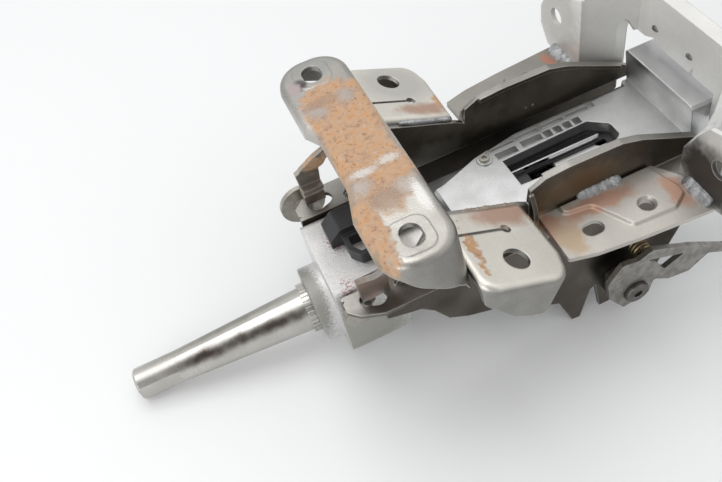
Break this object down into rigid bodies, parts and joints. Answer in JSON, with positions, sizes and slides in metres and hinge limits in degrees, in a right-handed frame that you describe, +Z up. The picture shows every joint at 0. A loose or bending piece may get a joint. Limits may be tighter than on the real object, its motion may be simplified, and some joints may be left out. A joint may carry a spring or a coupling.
{
  "type": "steering column",
  "caption": "Tilting and telescoping steering column with stamped mounting brackets, die-cast jacket, splined shafts and a clamp lever.",
  "frame": {"origin": "halfway between the centres of the two front mounting holes, on the ears' top faces", "axes": "+X along the steering axis towards the steering wheel, +Y to the far side, +Z up to the dashboard beam"},
  "size_m": [0.4307, 0.164, 0.164],
  "materials": {
    "bracket_steel": "bare pressed steel, satin",
    "rusted_steel": "pressed steel with heat tint and light rust",
    "dark_steel": "dark brown-black rail steel",
    "weld_metal": "rippled weld metal",
    "bolt_steel": "plated steel",
    "cast_aluminium": "die cast, slightly rough",
    "block_iron": "sintered grey",
    "ground_steel": "turned steel",
    "bearing_steel": "ground bearing steel",
    "tube_chrome": "bright drawn tube",
    "tube_steel": "drawn steel tube",
    "bush_plastic": "moulded bush",
    "black_plastic": "black moulding",
    "lever_steel": "pressed steel",
    "spring_brass": "brass coloured spring wire"
  },
  "bodies": {
    "frame": {"side_rail_right": "dark_steel", "side_rail_left": "dark_steel", "mounting_ear_right": "bracket_steel", "mounting_ear_left": "bracket_steel", "front_bridge": "rusted_steel", "bridge_leg_right": "rusted_steel", "bridge_leg_left": "rusted_steel", "gusset_right": "bracket_steel", "gusset_left": "bracket_steel", "rear_bracket": "bracket_steel", "weld_beads": "weld_metal", "pivot_bolt_right": "bolt_steel", "pivot_bolt_left": "bolt_steel", "square_block_left": "bolt_steel"},
    "tilt": {"lower_casting": "cast_aluminium", "pivot_bushes": "bush_plastic", "lower_bearing_outer": "bearing_steel", "lower_bearing_balls": "bearing_steel", "lower_snap_ring": "bearing_steel", "lower_tube": "tube_steel", "jacket": "cast_aluminium", "slide_sleeve": "black_plastic", "guide_rail": "tube_chrome", "guide_screw": "bolt_steel", "cable_guide": "black_plastic", "clamp_bolt": "bolt_steel", "clamp_nut": "bolt_steel", "clamp_washer": "bolt_steel", "clamp_spacers": "bolt_steel", "clamp_block": "block_iron"},
    "lower_steering": {"lower_shaft": "ground_steel", "lower_bearing_inner": "bearing_steel", "tolerance_ring": "ground_steel"},
    "telescope": {"inner_tube": "tube_chrome", "upper_housing": "tube_steel", "upper_bearing_outer": "bearing_steel", "upper_bearing_balls": "bearing_steel"},
    "upper_steering": {"upper_shaft": "ground_steel", "upper_bearing_inner": "bearing_steel", "upper_snap_ring": "bearing_steel"},
    "lever": {"lever": "lever_steel", "lever_grip": "black_plastic", "moving_cam": "block_iron", "return_spring": "spring_brass"}
  },
  "joints": [
    {"name": "column_tilt", "type": "hinge", "parent": "frame", "child": "tilt", "pos_m": [-0.066, 0, -0.0385], "axis": [0, -1, 0], "range_deg": [-3, 1]},
    {"name": "column_telescope", "type": "slide", "parent": "tilt", "child": "telescope", "axis": [1, 0, 0], "range_m": [-0.02, 0.02]},
    {"name": "lower_shaft_turn", "type": "hinge", "parent": "tilt", "child": "lower_steering", "pos_m": [-0.0777, 0, -0.0623], "axis": [1, 0, 0], "continuous": true},
    {"name": "upper_shaft_turn", "type": "hinge", "parent": "telescope", "child": "upper_steering", "pos_m": [0.196, 0, -0.0623], "axis": [1, 0, 0], "continuous": true},
    {"name": "lever_swing", "type": "hinge", "parent": "tilt", "child": "lever", "pos_m": [0.076, -0.054, -0.095], "axis": [0, 1, 0], "range_deg": [0, 55]}
  ],
  "couplings": [
    {"joint": "lower_shaft_turn", "follows": "upper_shaft_turn", "ratio": 1}
  ]
}
